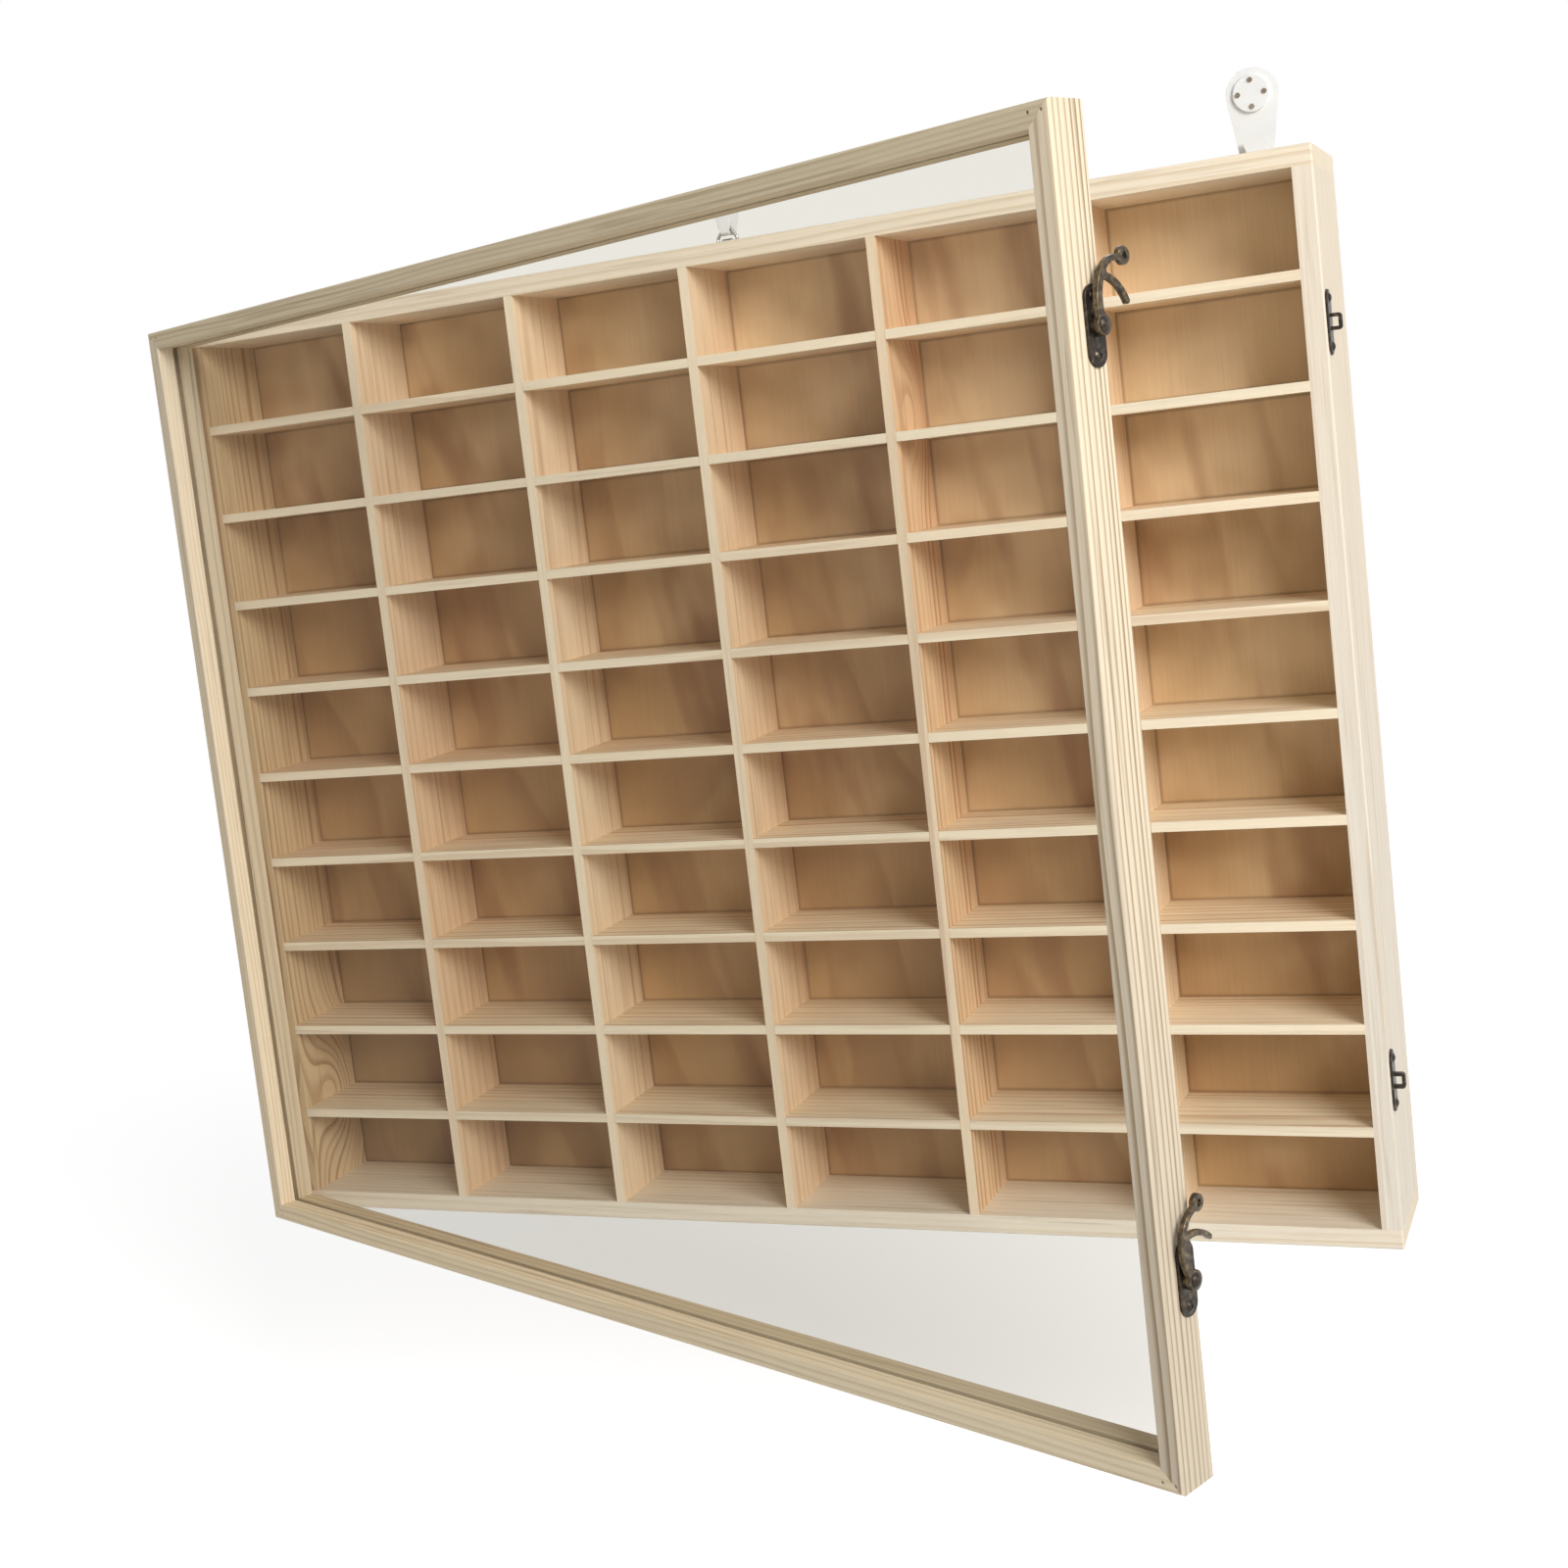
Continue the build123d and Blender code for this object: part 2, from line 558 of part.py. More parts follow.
def keeper(z):
    """A plate with an upright bail that the prong drops behind."""
    slot = SlotOverall(KEEPER_HEIGHT, LATCH_PLATE_WIDTH, rotation=90)
    plate = extrude(slot, LATCH_PLATE)
    plate = fillet(plate.faces().sort_by(Axis.Z)[-1].edges(), LATCH_PLATE_ROUND)
    bail = Pos(0, BAIL_STAND / 2) * Rectangle(BAIL_HEIGHT, BAIL_STAND)
    shoulders = bail.vertices().sort_by(Axis.Y)[-2:]
    bail = fillet(shoulders, BAIL_BAR)
    window = Rectangle(BAIL_HEIGHT - 2 * BAIL_BAR, 2 * (BAIL_STAND - BAIL_BAR))
    bail = extrude(bail - window, BAIL_WIDTH / 2, both=True)
    upright = Plane(origin=(0, 0, 0), x_dir=(0, 1, 0), z_dir=(1, 0, 0)).location
    piece = plate + upright * bail
    for offset in (-1, 1):
        piece -= Pos(0, offset * KEEPER_SCREW_PITCH / 2) * Cylinder(
            SCREW_RADIUS + SCREW_CLEARANCE, 4 * LATCH_PLATE)
    place = Plane(origin=(RIGHT, KEEPER_Y, z), x_dir=(0, 1, 0), z_dir=OUTWARD["right"])
    return place.location * piece


def keeper_screws():
    for z in LATCH_HEIGHTS.values():
        for spot in keeper_screw_places(z, LATCH_PLATE):
            yield spot * screw()


# Hangers

def hanger_strap(x, loop):
    """A strip rolled into a loop at its top, screwed into the notch."""
    inner = STRAP_LOOP_RADIUS - STRAP
    foot = STRAP_HOLES[1] + STRAP_END
    strip = Pos(STRAP / 2 - STRAP_LOOP_RADIUS, -foot / 2) * Rectangle(STRAP, foot)
    section = Circle(STRAP_LOOP_RADIUS) + strip - Circle(inner)
    strap = extrude(Plane.YZ * section, STRAP_WIDTH / 2, both=True)
    height = foot + STRAP_LOOP_RADIUS
    outline = Pos(0, STRAP_LOOP_RADIUS - height / 2) * Rectangle(STRAP_WIDTH, height)
    outline = fillet(outline.vertices().sort_by(Axis.Y)[:2], STRAP_ROUND)
    strap &= extrude(Plane.XZ * outline, 4 * STRAP_LOOP_RADIUS, both=True)
    for hole in STRAP_HOLES:
        strap -= Pos(0, -STRAP_LOOP_RADIUS, -hole) * Rot(90, 0, 0) * Cylinder(
            SCREW_RADIUS + STRAP_HOLE_CLEARANCE, 4 * STRAP)
    return Pos(x, LOOP_Y, loop) * strap


def hanger_ring(x, loop, drop=0.0):
    """A wire triangle whose bar lies in the strap's loop; drop turns it down from upright."""
    half = RING_BASE / 2
    corners = ((half, 0), (0, RING_HEIGHT), (-half, 0))
    path = FilletPolyline(*corners, radius=RING_BEND, close=True)
    path = Plane.XZ * path
    start = Plane(origin=path @ 0, z_dir=path % 0)
    wire = sweep(start * Circle(RING_WIRE), path=path)
    return Pos(x, LOOP_Y, loop) * Rot(-drop, 0, 0) * wire


def hanger_screws():
    for x in HANGER_XS.values():
        yield hanger_screw_place(x) * screw(HANGER_SCREW_LENGTH)


# Wall hooks

def link(start, end):
    """A flat tapered limb between two circles, each given as (u, v, radius)."""
    (u0, v0, r0), (u1, v1, r1) = start, end
    heading = atan2(v1 - v0, u1 - u0)
    spread = acos((r0 - r1) / hypot(u1 - u0, v1 - v0))
    corners = [(u + r * cos(heading + turn), v + r * sin(heading + turn))
               for u, v, r, turn in ((u0, v0, r0, spread), (u1, v1, r1, spread),
                                     (u1, v1, r1, -spread), (u0, v0, r0, -spread))]
    strip = make_face(Polyline(*corners, close=True))
    return strip + Pos(u0, v0) * Circle(r0) + Pos(u1, v1) * Circle(r1)


def nail_places(count, circle):
    """Points round a hook's pad, as (x, z) from its middle."""
    return [(circle * sin(2 * pi * index / count), circle * cos(2 * pi * index / count))
            for index in range(count)]


def hook_outline(disc, foot_width, base):
    """The hook's back plate from the front: a disc that narrows to a rounded foot."""
    corner = foot_width / 2 - HOOK_CORNER
    feet = [(across * corner, base + HOOK_CORNER, HOOK_CORNER) for across in (-1, 1)]
    outline = link(*feet)
    for foot in feet:
        outline += link((0, 0, disc), foot)
    return outline


def lip_outline(widths, base, top):
    """The hook's lip from the front: a tongue that widens upwards, with rounded corners."""
    low, high = (width / 2 - HOOK_CORNER for width in widths)
    corners = ((-low, base + HOOK_CORNER), (low, base + HOOK_CORNER),
               (high, top - HOOK_CORNER), (-high, top - HOOK_CORNER))
    outline = make_face(Polyline(*corners, close=True))
    for start, end in zip(corners, corners[1:] + corners[:1]):
        outline += link((*start, HOOK_CORNER), (*end, HOOK_CORNER))
    return outline


def wall_hook(disc, pad, drop, floor, lip_height, lip_widths, foot_width, pins, circle):
    """A moulded hook whose back face is centred on the origin."""
    base = -drop - floor
    lip_top = -drop + lip_height
    lip_back = HOOK_PLATE + HOOK_GAP
    front = lip_back + HOOK_LIP
    profile = Polyline((0, disc), (0, base), (-front, base), (-front, lip_top),
                       (-lip_back, lip_top), (-lip_back, -drop), (-HOOK_PLATE, -drop),
                       (-HOOK_PLATE, disc), close=True)
    section = make_face(profile)
    toe = section.vertices().sort_by(lambda corner: corner.X + corner.Y)[0]
    section = fillet(toe, min(floor, HOOK_LIP))
    side = extrude(Plane.YZ * section, disc, both=True)
    mask = extrude(Plane.XZ * hook_outline(disc, foot_width, base), HOOK_PLATE)
    tongue = extrude(Plane.XZ * lip_outline(lip_widths, base, lip_top), front - HOOK_PLATE)
    mask += Pos(0, -HOOK_PLATE, 0) * tongue
    hook = side & mask
    button = extrude(Circle(pad), HOOK_PAD)
    button = fillet(button.faces().sort_by(Axis.Z)[-1].edges(), HOOK_PAD_ROUND)
    place = Plane(origin=(0, -HOOK_PLATE, 0), x_dir=(1, 0, 0), z_dir=OUTWARD["front"])
    hook += place.location * button
    depth = HOOK_PLATE + HOOK_PAD
    for x, z in nail_places(pins, circle):
        hook -= Pos(x, 0, z) * Rot(90, 0, 0) * Cylinder(NAIL_RADIUS + SCREW_CLEARANCE, 4 * depth)
    return hook


def wall_nails(pins, circle):
    """Hardened pins through a hook's pad into the wall."""
    surface = -HOOK_PLATE - HOOK_PAD
    tip = surface - NAIL_REACH
    outline = Polyline((0, NAIL_HEAD), (0, tip), (NAIL_RADIUS, tip + 2 * NAIL_RADIUS),
                       (NAIL_RADIUS, 0), (NAIL_HEAD_RADIUS, 0), (NAIL_HEAD_RADIUS, NAIL_HEAD),
                       close=True)
    nail = revolve(Plane.XZ * make_face(outline), Axis.Z)
    for x, z in nail_places(pins, circle):
        yield Plane(origin=(x, surface, z), x_dir=(1, 0, 0), z_dir=OUTWARD["front"]).location * nail


def model():
    """Every piece by its name."""
    pieces = {
        "case_top_board": top_board(),
        "case_bottom_board": end_board(BOTTOM, BOTTOM + BOARD),
        "case_left_board": side_board("left"),
        "case_right_board": side_board("right"),
        "back_panel": back_panel(),
        "acrylic_pane": pane(),
        "door_corner_brads": corner_brads(),
        "latch_screws": group(latch_screws()),
        "keeper_screws": group(keeper_screws()),
        "hinge_screws_case": group(hinge_screws(1)),
        "hinge_screws_door": group(swing_open(part) for part in hinge_screws(-1)),
        "hanger_screws": group(hanger_screws()),
    }
    for number, x in enumerate(DIVIDER_XS, 1):
        pieces[f"divider_{number}"] = divider(x)
    for number, z in enumerate(SHELF_HEIGHTS, 1):
        pieces[f"shelf_{number}"] = shelf(z)
    for name in ("top_rail", "bottom_rail", "left_stile", "right_stile"):
        pieces[f"door_{name}"] = door_member(name)
    for name, z in HINGE_HEIGHTS.items():
        pieces[f"hinge_{name}_case_leaf"] = hinge_leaf(z, 1)
        pieces[f"hinge_{name}_door_leaf"] = swing_open(hinge_leaf(z, -1))
        pieces[f"hinge_{name}_pin"] = hinge_pin(z)
    for name, z in LATCH_HEIGHTS.items():
        pieces[f"latch_{name}_plate"] = latch_plate(z)
        pieces[f"latch_{name}_pin"] = latch_pin(z)
        place = latch_frame(z, LEVER_BASE, LATCH_LEANS[name])
        pieces[f"latch_{name}_lever"] = swing_open(place * lever())
        pieces[f"keeper_{name}"] = keeper(z)
    for name, x in HANGER_XS.items():
        loop = CENTRE_LOOP if name == "centre" else SIDE_LOOP
        drop = LEFT_RING_DROP if name == "left" else 0.0
        pieces[f"hanger_{name}_strap"] = hanger_strap(x, loop)
        pieces[f"hanger_{name}_ring"] = hanger_ring(x, loop, drop)
    right = Pos(HANGER_X, 0, RIGHT_HOOK_Z)
    pieces["wall_hook_centre"] = wall_hook(
        CENTRE_DISC_RADIUS, CENTRE_PAD_RADIUS, CENTRE_DROP, CENTRE_FLOOR, CENTRE_LIP_HEIGHT,
        CENTRE_LIP_WIDTHS, CENTRE_FOOT_WIDTH, CENTRE_PINS, CENTRE_PIN_CIRCLE)
    pieces["wall_hook_right"] = right * wall_hook(
        RIGHT_DISC_RADIUS, RIGHT_PAD_RADIUS, RIGHT_DROP, RIGHT_FLOOR, RIGHT_LIP_HEIGHT,
        RIGHT_LIP_WIDTHS, RIGHT_FOOT_WIDTH, RIGHT_PINS, RIGHT_PIN_CIRCLE)
    nails = list(wall_nails(CENTRE_PINS, CENTRE_PIN_CIRCLE))
    nails += [right * nail for nail in wall_nails(RIGHT_PINS, RIGHT_PIN_CIRCLE)]
    pieces["wall_hook_nails"] = group(nails)
    return pieces


if __name__ == "__main__":
    os.makedirs("parts", exist_ok=True)
    for name, shape in model().items():
        export_step(shape, f"parts/{name}.step")
    print(f"hinge axis at x {HINGE_X:.3f} y {HINGE_Y:.3f}; top {TOP:.3f} bottom {BOTTOM:.3f}")
    print(f"loops at {CENTRE_LOOP:.3f} and {SIDE_LOOP:.3f}; right hook at {RIGHT_HOOK_Z:.3f}")
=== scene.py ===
"""A pine model car display case, seen as in the photograph: its finishes, light and camera."""
import json
import math
import random

import bpy
from mathutils import Matrix, Quaternion, Vector


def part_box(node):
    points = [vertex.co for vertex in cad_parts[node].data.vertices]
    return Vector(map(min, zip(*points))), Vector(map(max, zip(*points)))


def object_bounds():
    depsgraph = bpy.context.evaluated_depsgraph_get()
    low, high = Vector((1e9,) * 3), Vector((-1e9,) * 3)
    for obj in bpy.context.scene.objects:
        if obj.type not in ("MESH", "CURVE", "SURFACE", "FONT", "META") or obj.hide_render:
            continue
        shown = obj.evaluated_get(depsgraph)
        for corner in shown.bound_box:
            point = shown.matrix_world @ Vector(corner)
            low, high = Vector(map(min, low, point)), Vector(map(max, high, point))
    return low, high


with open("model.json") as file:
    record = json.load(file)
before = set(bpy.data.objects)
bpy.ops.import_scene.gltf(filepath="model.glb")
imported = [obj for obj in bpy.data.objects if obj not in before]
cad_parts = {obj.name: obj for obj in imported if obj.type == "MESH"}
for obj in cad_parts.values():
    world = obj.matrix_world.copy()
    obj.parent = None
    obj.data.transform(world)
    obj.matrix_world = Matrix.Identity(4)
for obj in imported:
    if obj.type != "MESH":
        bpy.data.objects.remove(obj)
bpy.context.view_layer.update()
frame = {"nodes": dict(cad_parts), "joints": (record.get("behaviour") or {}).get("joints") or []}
nodes = frame["nodes"]
door_open = -next(j["range_deg"][0] for j in frame["joints"] if j["name"] == "door_hinge")


# Shader maths

class Value:
    """A number or colour socket, with the sums that the finishes use."""

    def __init__(self, finish, socket):
        self.finish, self.socket = finish, socket

    def sum(self, operation, *others):
        """A Math node's operation on this value and others."""
        return self.finish.node("ShaderNodeMath", {"operation": operation}, self, *others)

    def __add__(self, other):
        return self.sum("ADD", other)

    __radd__ = __add__

    def __mul__(self, other):
        return self.sum("MULTIPLY", other)

    __rmul__ = __mul__

    def __sub__(self, other):
        return self.sum("SUBTRACT", other)

    def __rsub__(self, other):
        return (self * -1) + other

    def __truediv__(self, other):
        return self.sum("DIVIDE", other)

    def __pow__(self, other):
        return self.sum("POWER", other)

    def rounds(self):
        """The part after the decimal point, which climbs from 0 to 1 and drops again."""
        return self.sum("FRACT")

    def ramp(self, low, high, to_low=0.0, to_high=1.0):
        """An even climb from to_low at low to to_high at high, soft and held at both ends."""
        settings = {"interpolation_type": "SMOOTHSTEP", "clamp": True}
        return self.finish.node("ShaderNodeMapRange", settings, self, low, high, to_low, to_high)


class Finish:
    """The nodes of a material or of the world."""

    def __init__(self, holder):
        holder.use_nodes = True
        self.holder, self.tree = holder, holder.node_tree
        self.tree.nodes.clear()

    def node(self, kind, settings=None, *values, out=0, **named):
        """Adds a node, first with its settings, then with the values or links of its sockets."""
        node = self.tree.nodes.new(kind)
        for key, value in (settings or {}).items():
            setattr(node, key, value)
        sockets = list(enumerate(values)) + [(k.replace("_", " "), v) for k, v in named.items()]
        for key, value in sockets:
            if isinstance(value, Value):
                self.tree.links.new(value.socket, node.inputs[key])
            elif value is not None:
                node.inputs[key].default_value = value
        return Value(self, node.outputs[out])

    def place(self, turn=0.0, shift=(0, 0, 0)):
        """The object's own coordinates in metres, turned about z and shifted, as three values."""
        where = self.node("ShaderNodeTexCoord", out="Object")
        moved = self.node("ShaderNodeMapping", None, where, Location=shift, Rotation=(0, 0, turn))
        return [self.node("ShaderNodeSeparateXYZ", None, moved, out=axis) for axis in "XYZ"]

    def noise(self, x, y, z, detail=2.0, rough=0.5):
        """Smooth noise from 0 to 1 about 0.5, with features one unit wide."""
        where = self.node("ShaderNodeCombineXYZ", None, x, y, z)
        return self.node("ShaderNodeTexNoise", {"noise_dimensions": "3D"}, out=0, Vector=where,
                         Scale=1.0, Detail=detail, Roughness=rough)

    def mix(self, amount, first, second, blend="MIX"):
        """A mix of two colours."""
        settings = {"data_type": "RGBA", "blend_type": blend}
        first, second = (c if isinstance(c, Value) else (*c, 1) for c in (first, second))
        return self.node("ShaderNodeMix", settings, amount, *[None] * 5, first, second, out=2)

    def shade(self, colour, light):
        """A colour made lighter or darker by a number about 1."""
        grey = self.node("ShaderNodeCombineXYZ", None, light, light, light)
        return self.mix(1.0, colour, grey, "MULTIPLY")

    def bump(self, height, distance):
        """A normal for relief of a height from 0 to 1, distance metres deep."""
        return self.node("ShaderNodeBump", None, Strength=1.0, Distance=distance, Height=height)

    def surface(self, **sockets):
        """Closes the material with the sockets of its shader."""
        return self.end(self.node("ShaderNodeBsdfPrincipled", None, **sockets))

    def end(self, shader, kind="ShaderNodeOutputMaterial"):
        """Closes the tree with a finished shader and gives back its material or world."""
        self.tree.links.new(shader.socket, self.tree.nodes.new(kind).inputs[0])
        return self.holder


def finish(name):
    """An empty material to build on."""
    return Finish(bpy.data.materials.new(name))


def paint(red, green, blue):
    """A colour as it looks on a screen, from 0 to 255, as shader values."""
    return tuple(((c / 255 + 0.055) / 1.055) ** 2.4 for c in (red, green, blue))


# Wood

# The colour of the painted highlight on front edges, which catch more light than the cells behind
# them.
PAINTED_EDGE_LIGHT = (250, 237, 210)


def pine(node, axes, seed, turn=0.0, spacing=0.0024, heart=(0.1, 0.1), wander=1.0, even=0.0,
         early=(243, 231, 210), late=(206, 176, 132), strength=0.8, warm=(238, 212, 172),
         warmth=0.35, knots=(), painted_edge_light=0.0, painted_low_shade=0.0):
    """Sawn pine. Rings are cylinders round a heart line beside the piece, spacing apart, that
    wander along the grain; each knot, at (along, across) with a size, adds a round hill to the
    rings' distance. axes names the directions along the grain, across it and through it, and
    heart is (across, through). Rings are all alike where even is 1. The front edge, the lowest
    across, is paler by sawn, a painted highlight for the light it catches outside the cells, and
    the low end of the wood is darker by fade, painted shade for the light that falls off there.
    The piece is turned about z, and seed picks its grain."""
    chance = random.Random(seed)
    wood = finish(f"pine_{node}")
    low, high = (Vector(corner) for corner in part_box(node))
    middle = Matrix.Rotation(turn, 3, "Z") @ ((low + high) / 2)
    where = dict(zip("xyz", wood.place(turn, -middle)))
    u, v, w = (where[axis] for axis in axes)
    away = chance.uniform(0, 40)
    slow = wood.noise(u * 2.4 + away, v * 9, w * 9 + away, 2.0, 0.45)
    wavy = wood.noise(u * 9 + away, v * 22, w * 22, 1.0)
    broad = wood.noise(u * 0.9 + away, v * 3.5 + 7, w * 3.5, 1.0)
    across = (v + chance.choice((-1, 1)) * heart[0]) ** 2 + (w + heart[1]) ** 2
    distance = across ** 0.5 + ((slow - 0.5) * 0.012 + (wavy - 0.5) * 0.0024) * wander
    for at_u, at_v, size in knots:
        off = (u - at_u) ** 2 * 0.35 + (v - at_v) ** 2
        hill = wood.node("ShaderNodeMath", {"operation": "POWER"}, math.e, off * (-1 / size ** 2))
        distance = distance + hill * size * 1.3
    turns = distance / spacing
    uneven = wood.noise(turns * 0.3 + away, u * 0.6, 3.0, 2.0)
    ring = (turns + (uneven - 0.5) * 3.0 * (1 - even)).rounds()
    dark = ring.ramp(0.3, 0.86) ** 1.6 * ring.ramp(0.9, 1.0, 1.0, 0.0)
    faintest = 0.12 + 0.5 * even
    weight = wood.noise(turns * 0.43 + away, u * 1.5, 9.0, 1.0).ramp(0.3, 0.7, faintest, 1.0)
    fibre = wood.noise(u * 34 + away, v * 1500, w * 1500, 3.0, 0.65)
    streak = wood.noise(u * 12, v * 420 + away, w * 420, 2.0)
    body = wood.mix(broad.ramp(0.35, 0.65) * warmth, paint(*early), paint(*warm))
    body = wood.mix(dark * weight * strength, body, paint(*late))
    body = wood.mix(streak.ramp(0.56, 0.74) * 0.35, body, paint(*[c * 0.86 for c in late]))
    # Painted highlight: the front edge is made paler for the light it catches outside the cells.
    if painted_edge_light:
        front = (v + (high - low)["xyz".index(axes[1])] / 2).ramp(0.0004, 0.0012, painted_edge_light, 0.0)
        body = wood.mix(front, body, paint(*PAINTED_EDGE_LIGHT))
    # Painted shade: the low end is darkened for the light that falls off towards it.
    if painted_low_shade:
        body = wood.shade(body, u.ramp(-0.24, 0.12, 1 - painted_low_shade, 1.0))
    tone = chance.uniform(0.965, 1.03)
    body = wood.shade(body, (fibre - 0.5) * 0.2 + (broad - 0.5) * 0.12 + tone)
    rough = 0.7 - dark * 0.08 + (fibre - 0.5) * 0.2
    return wood.surface(Base_Color=body, Roughness=rough, Specular_IOR_Level=0.2,
                        Normal=wood.bump(fibre * 0.6 + dark * 0.4, 0.00016))


def seam(place, boards, axis):
    """1 in the last millimetre beside the nearest of a row of evenly spaced boards, else 0. The
    row is known by its first two boards, and place is measured along axis."""
    (low, high), (next_low, _) = (sorted(c[axis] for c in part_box(board)) for board in boards)
    pitch, half = abs(next_low - low), (high - low) / 2
    near = ((place - (low + half)) / pitch + 0.5).rounds() - 0.5
    return (near.sum("ABSOLUTE") * pitch).ramp(half + 0.0004, half + 0.0016, 1.0, 0.0)


def veneer(node, seed):
    """Rotary cut plywood: the knife follows the rings, so they show as broad flowing bands, with
    redder streaks where it grazes the latewood. Painted light makes it paler towards its top
    right, painted shade makes it deeper at its bottom left, and a painted shadow darkens its
    front along the joins round each cell."""
    wood = finish(f"plywood_{node}")
    x, y, z = wood.place()
    middle = sum(corner[1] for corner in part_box(node)) / 2
    front = (y - middle).ramp(-0.0005, 0.0005, 1.0, 0.0)
    # Painted shadow: the back's front is darkened beside each shelf and divider, where they meet
    # it.
    painted_seam_shadow = seam(z, ("shelf_1", "shelf_2"), 2)
    painted_seam_shadow = painted_seam_shadow.sum("MAXIMUM", seam(x, ("divider_1", "divider_2"), 0))
    sweep = wood.noise(x * 6 + z * 2, y, z * 2.4 + seed, 2.0, 0.5)
    swirl = wood.noise(x * 17 + seed, y, z * 8, 2.0, 0.5)
    band = (sweep * 6 + swirl * 1.6 + x * 9).rounds()
    dark = band.ramp(0.15, 0.85) * band.ramp(0.88, 1.0, 1.0, 0.0)
    graze = wood.noise(x * 38 + z * 7, seed, z * 7, 2.0, 0.55).ramp(0.52, 0.68)
    cloud = wood.noise(x * 20 + seed, y, z * 20, 2.0)
    fibre = wood.noise(x * 900, y * 900, z * 26 + seed, 3.0, 0.6)
    # Painted light: paler towards the top right, where more of the lamp's light reaches the
    # cells, mottled by the cloud.
    pale = (z * 2.6 + x * 1.2 + cloud * 1.8).ramp(0.15, 1.05)
    # Painted shade: darker towards the bottom left, where less light reaches the cells.
    deep = (z + x * 0.6).ramp(-0.58, -0.4, 0.72, 1.0)
    body = wood.mix(dark * 0.6, paint(208, 173, 126), paint(182, 143, 100))
    body = wood.mix(pale * 0.8, body, paint(236, 211, 171))
    body = wood.mix(graze * 0.45, body, paint(160, 110, 74))
    # The colour of the painted shadow along the joins.
    body = wood.mix(painted_seam_shadow * front * 0.4, body, paint(96, 62, 36))
    body = wood.shade(body, (fibre - 0.5) * 0.18 + (cloud - 0.5) * 0.45 + deep)
    return wood.surface(Base_Color=body, Roughness=0.55 + (fibre - 0.5) * 0.2,
                        Normal=wood.bump(fibre, 0.00012))


# Metal and plastic

def metal(name, deep, worn, rough, wear, bump, shine=1.0):
    """Metal whose worn patches are lighter and smoother than the rest; the patches are rarer
    where wear is greater, and bump metres deep."""
    plate = finish(name)
    x, y, z = plate.place()
    patch = plate.noise(x * 520, y * 520, z * 520, 2.0, 0.5)
    grain = plate.noise(x * 2400, y * 2400, z * 2400, 2.0)
    rub = patch.ramp(wear, wear + 0.4)
    body = plate.mix(rub, paint(*deep), paint(*worn))
    return plate.surface(Base_Color=body, Metallic=shine,
                         Roughness=rough - rub * 0.1 + (grain - 0.5) * 0.1,
                         Normal=plate.bump(grain * 0.4 + patch, bump))


def white_plastic():
    """Moulded white plastic, faintly uneven in its gloss."""
    shell = finish("white_plastic")
    x, y, z = shell.place()
    cloud = shell.noise(x * 120, y * 120, z * 120, 2.0)
    fine = shell.noise(x * 1800, y * 1800, z * 1800, 2.0)
    body = shell.mix(cloud, paint(243, 243, 241), paint(232, 232, 230))
    return shell.surface(Base_Color=body, Roughness=0.32 + (cloud - 0.5) * 0.1,
                         Normal=shell.bump(fine + cloud, 0.00006))


def acrylic():
    """A clear sheet: nearly all light goes straight through, and a little shines back, more
    where the sheet is seen aslant."""
    sheet = finish("clear_acrylic")
    x, y, z = sheet.place()
    haze = sheet.noise(x * 9, y * 9, z * 9, 2.0)
    gloss = sheet.node("ShaderNodeBsdfPrincipled", None, Base_Color=(0.9, 0.93, 0.93, 1),
                       Metallic=1.0, Roughness=0.06)
    clear = sheet.node("ShaderNodeBsdfTransparent", None, (0.957, 0.957, 0.95, 1))
    slant = sheet.node("ShaderNodeLayerWeight", None, 0.5, out="Facing")
    shine = slant ** 6 * 0.4 + haze * 0.008 + 0.003
    return sheet.end(sheet.node("ShaderNodeMixShader", None, shine, clear, gloss))


# Which node takes which finish

def dress(node, material):
    """Gives a node its finish."""
    for holder in nodes[node].material_slots:
        holder.material = material


door_turn = math.radians(door_open)
# The lattice gets a painted highlight on its front edges.
LATTICE = {"early": (242, 224, 192), "late": (196, 148, 98), "warm": (236, 196, 154), "painted_edge_light": 0.5}
for seed, node in enumerate(("case_top_board", "case_bottom_board")):
    dress(node, pine(node, "xyz", 11 + seed, spacing=0.003, heart=(0.05, 0.03), strength=0.4))
dress("case_left_board", pine("case_left_board", "zyx", 14, spacing=0.0036, heart=(0.04, 0.03),
                              early=(228, 201, 158), late=(168, 120, 74), warmth=0.8,
                              knots=((-0.165, 0.0, 0.02),)))
dress("case_right_board", pine("case_right_board", "zyx", 15, spacing=0.0042, heart=(0.03, 0.06),
                               strength=0.3, early=(234, 225, 210)))
for number in range(1, 10):
    node = f"shelf_{number}"
    dress(node, pine(node, "xyz", 30 + number, spacing=0.0042, heart=(0.03, 0.02), strength=0.75,
                     **LATTICE))
for number in (1, 2, 3, 5):
    node = f"divider_{number}"
    dress(node, pine(node, "zyx", 50 + number, spacing=0.0048, heart=(0.03, 0.02), strength=0.4,
                     warmth=0.6, **LATTICE))
dress("divider_4", pine("divider_4", "zyx", 54, spacing=0.0048, heart=(0.03, 0.02), strength=0.8,
                        early=(236, 206, 164), late=(180, 122, 80), warm=(230, 178, 134),
                        warmth=0.8, knots=((0.135, 0.004, 0.014),), painted_edge_light=0.5))
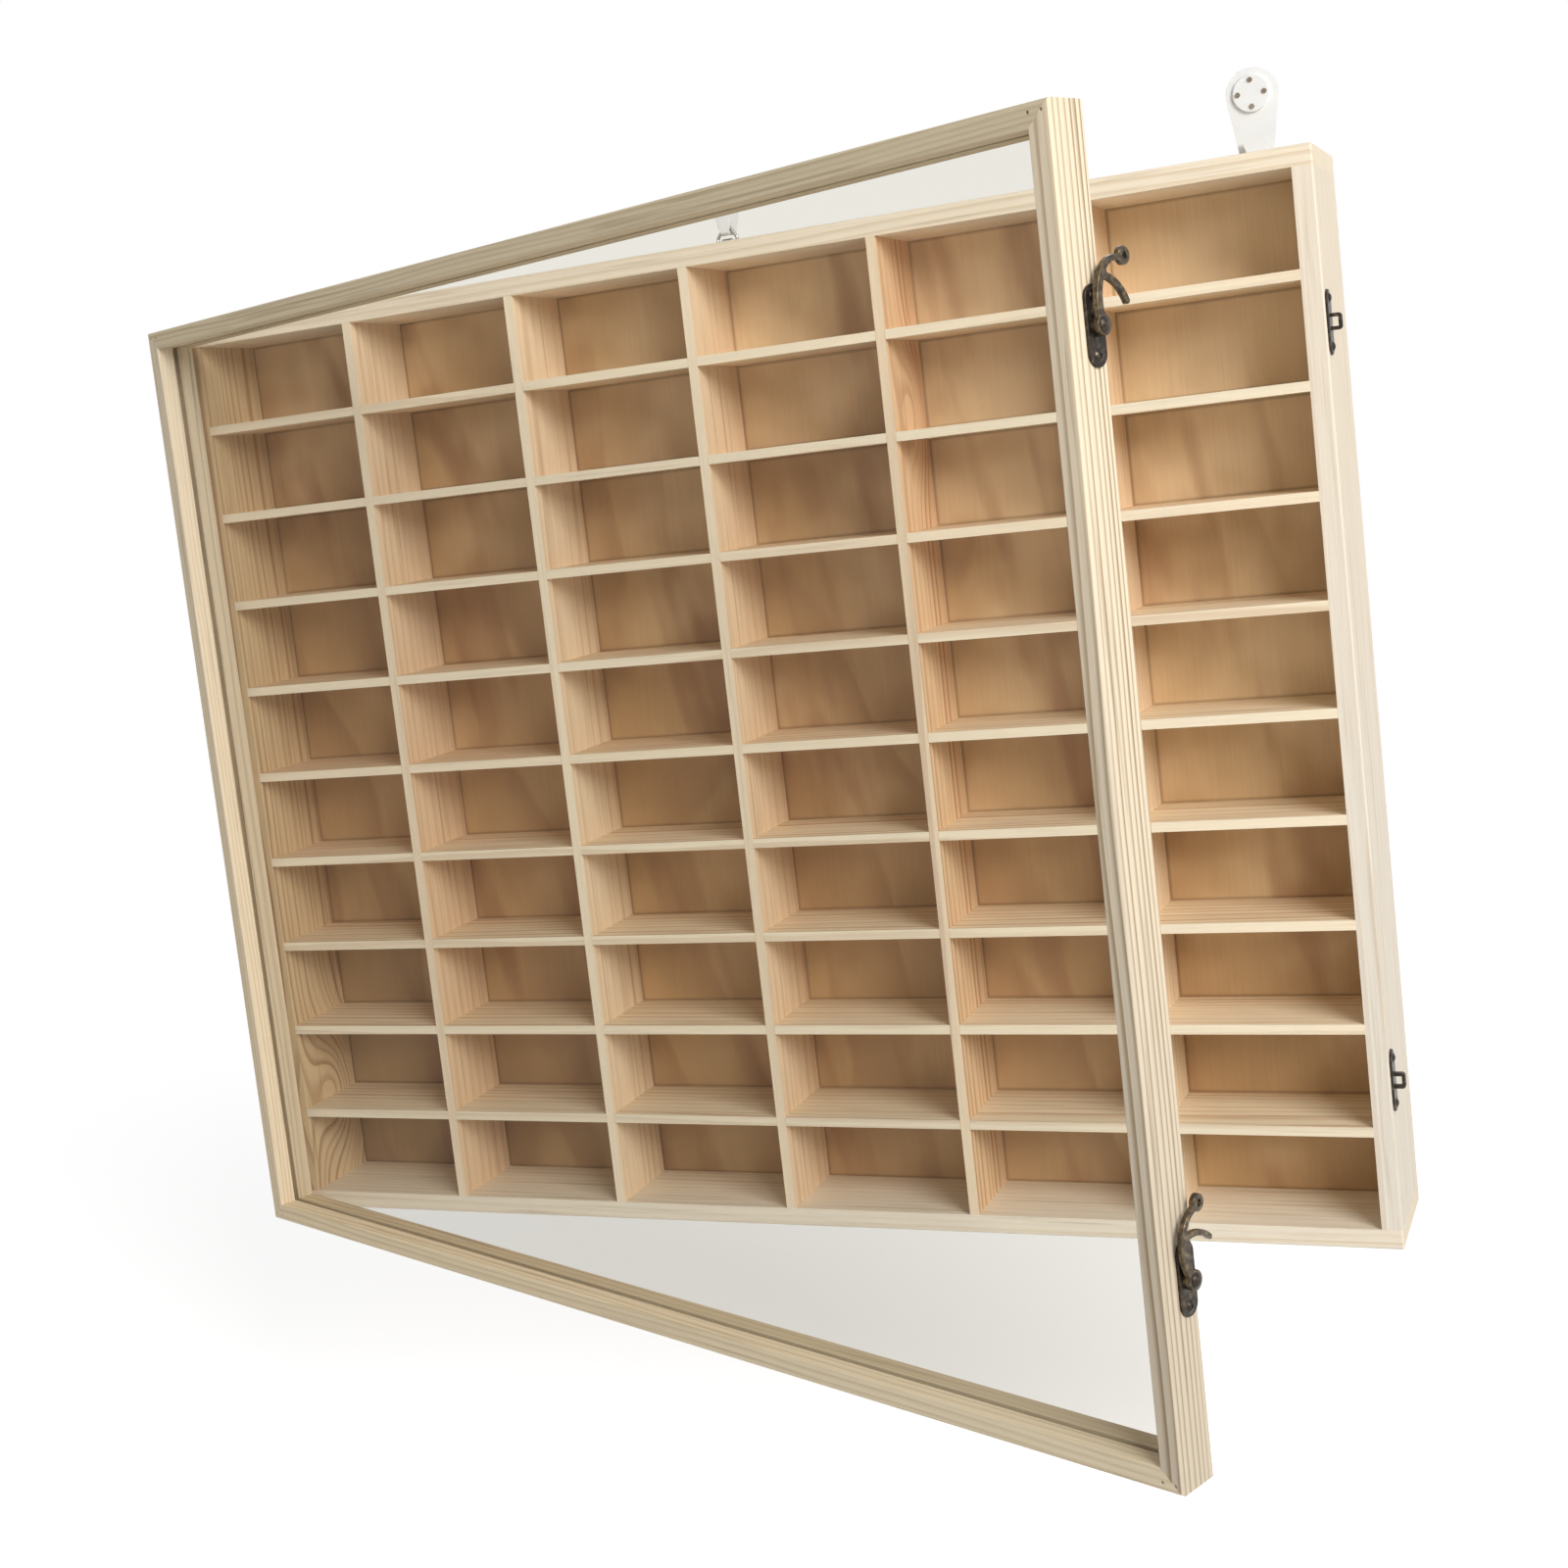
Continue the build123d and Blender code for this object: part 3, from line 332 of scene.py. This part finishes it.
# The top rail's colours are darker than the bottom rail's: painted shade for its front face,
# which gets less light.
dress("door_top_rail", pine("door_top_rail", "xyz", 70, door_turn, 0.0017, even=0.3, strength=0.5,
                            early=(216, 200, 169), late=(160, 138, 100), warmth=0.0))
dress("door_bottom_rail", pine("door_bottom_rail", "xyz", 71, door_turn, 0.0019, even=0.3,
                               strength=0.5, early=(236, 221, 190), late=(190, 160, 116)))
dress("door_left_stile", pine("door_left_stile", "zyx", 72, door_turn, 0.0021, strength=0.5,
                              early=(230, 214, 187), late=(168, 140, 100)))
# The right stile's fade paints shade on its low end, where the light falls off.
dress("door_right_stile", pine("door_right_stile", "zyx", 73, door_turn, 0.0022, wander=0.5,
                               heart=(0.17, 0.1), even=0.6, strength=0.85,
                               early=(230, 217, 195), late=(148, 119, 80), painted_low_shade=0.22))
dress("back_panel", veneer("back_panel", 4.0))
dress("acrylic_pane", acrylic())

bronze = metal("antique_bronze", (48, 41, 34), (110, 96, 76), 0.38, 0.46, 0.00005, shine=0.65)
# The levers' bronze is lighter than the plates' all over: painted sheen for their highlights,
# with rubbed patches of wear.
rubbed_with_sheen = metal("rubbed_bronze_with_sheen", (70, 60, 48), (122, 108, 84), 0.34, 0.36, 0.00003, shine=0.7)
steel = metal("bright_steel", (172, 169, 163), (202, 199, 193), 0.34, 0.42, 0.00001)
sunk = metal("sunk_steel", (124, 110, 92), (160, 146, 124), 0.6, 0.4, 0.00003, shine=0.3)
plastic = white_plastic()
for node in nodes:
    if node.endswith("_lever"):
        dress(node, rubbed_with_sheen)
    elif node.startswith(("latch_", "keeper_")):
        dress(node, bronze)
    elif node.startswith(("hinge_", "hanger_")):
        dress(node, steel)
    elif node in ("door_corner_brads", "wall_hook_nails"):
        dress(node, sunk)
    elif node.startswith("wall_hook"):
        dress(node, plastic)


# Floor, light and camera

MIDDLE = (0.0, 0.0, -0.24)    # of the case
FLOOR_DROP = 0.16    # from the lowest point of the door to the floor
BEHIND_PANE = (243, 240, 233)    # the room as the pane shows it
FLOOR_BEHIND_PANE = (213, 210, 203)    # before the light on the floor is added


def seen(stage):
    """1 for what is seen straight, in gloss or through glass, and 0 for light that falls."""
    rays = [stage.node("ShaderNodeLightPath", out=f"Is {kind} Ray")
            for kind in ("Camera", "Glossy", "Transmission")]
    return rays[0].sum("MAXIMUM", rays[1]).sum("MAXIMUM", rays[2])


def shown(stage, behind):
    """White, or the pale grey of what lies behind the pane."""
    through = stage.node("ShaderNodeLightPath", out="Transparent Depth").ramp(0.4, 0.6)
    return stage.mix(through, (1, 1, 1), paint(*behind))


def floor():
    """A plain floor below the case, topped up to white where it is seen, with the case's
    shadow on it; it fades into the white room around it."""
    stage = finish("pale_floor")
    x, y, z = stage.place()
    matt = stage.node("ShaderNodeBsdfDiffuse", None, (0.8, 0.8, 0.8, 1))
    topped = stage.node("ShaderNodeAddShader", None, matt,
                        stage.node("ShaderNodeEmission", None,
                                   shown(stage, FLOOR_BEHIND_PANE), 0.62))
    white = stage.node("ShaderNodeEmission", None, shown(stage, BEHIND_PANE), 1.0)
    far = ((x ** 2 + y ** 2) ** 0.5).ramp(0.7, 1.8)
    near = stage.node("ShaderNodeMixShader", None, far, topped, white)
    material = stage.end(stage.node("ShaderNodeMixShader", None, seen(stage), matt, near))
    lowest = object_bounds()[0][2] - FLOOR_DROP
    reach = 8.0
    corners = [(-reach, -reach, lowest), (reach, -reach, lowest), (reach, reach, lowest),
               (-reach, reach, lowest)]
    mesh = bpy.data.meshes.new("pale_floor")
    mesh.from_pydata(corners, [], [(0, 1, 2, 3)])
    mesh.materials.append(material)
    ground = bpy.data.objects.new("pale_floor", mesh)
    bpy.context.scene.collection.objects.link(ground)


def room(level):
    """Soft even light of a level from all sides, white where it is seen."""
    world = bpy.data.worlds.new("soft_room")
    bpy.context.scene.world = world
    stage = Finish(world)
    light = stage.mix(seen(stage), (level, level, level), shown(stage, BEHIND_PANE))
    stage.end(stage.node("ShaderNodeBackground", None, light, 1.0), "ShaderNodeOutputWorld")


def lamp(name, place, size, power):
    """A soft square lamp at place, size metres wide, that faces the middle of the case."""
    light = bpy.data.lights.new(name, "AREA")
    light.size, light.energy = size, power
    holder = bpy.data.objects.new(name, light)
    bpy.context.scene.collection.objects.link(holder)
    holder.location = place
    holder.rotation_mode = "QUATERNION"
    holder.rotation_quaternion = (Vector(MIDDLE) - Vector(place)).to_track_quat("-Z", "Y")


def camera():
    """The photograph's camera, solved from the corners of the lattice and the outlines."""
    lens = bpy.data.cameras.new("photo_camera")
    lens.sensor_width, lens.lens = 36, 48.634
    lens.shift_x, lens.shift_y = 0.03874, -0.04248
    holder = bpy.data.objects.new("photo_camera", lens)
    bpy.context.scene.collection.objects.link(holder)
    holder.location = (0.37565, -0.89321, -0.12339)
    holder.rotation_mode = "QUATERNION"
    holder.rotation_quaternion = Quaternion((0.735999, 0.642585, 0.179347, 0.114999))
    bpy.context.scene.camera = holder


floor()
room(0.28)
lamp("key", (1.62, -1.42, 0.77), 1.15, 46)
lamp("fill", (-1.4, -1.5, 0.2), 1.4, 2)
lamp("back", (-1.2, 2.6, 0.7), 1.6, 18)
camera()
bpy.context.scene.view_settings.view_transform = "Standard"
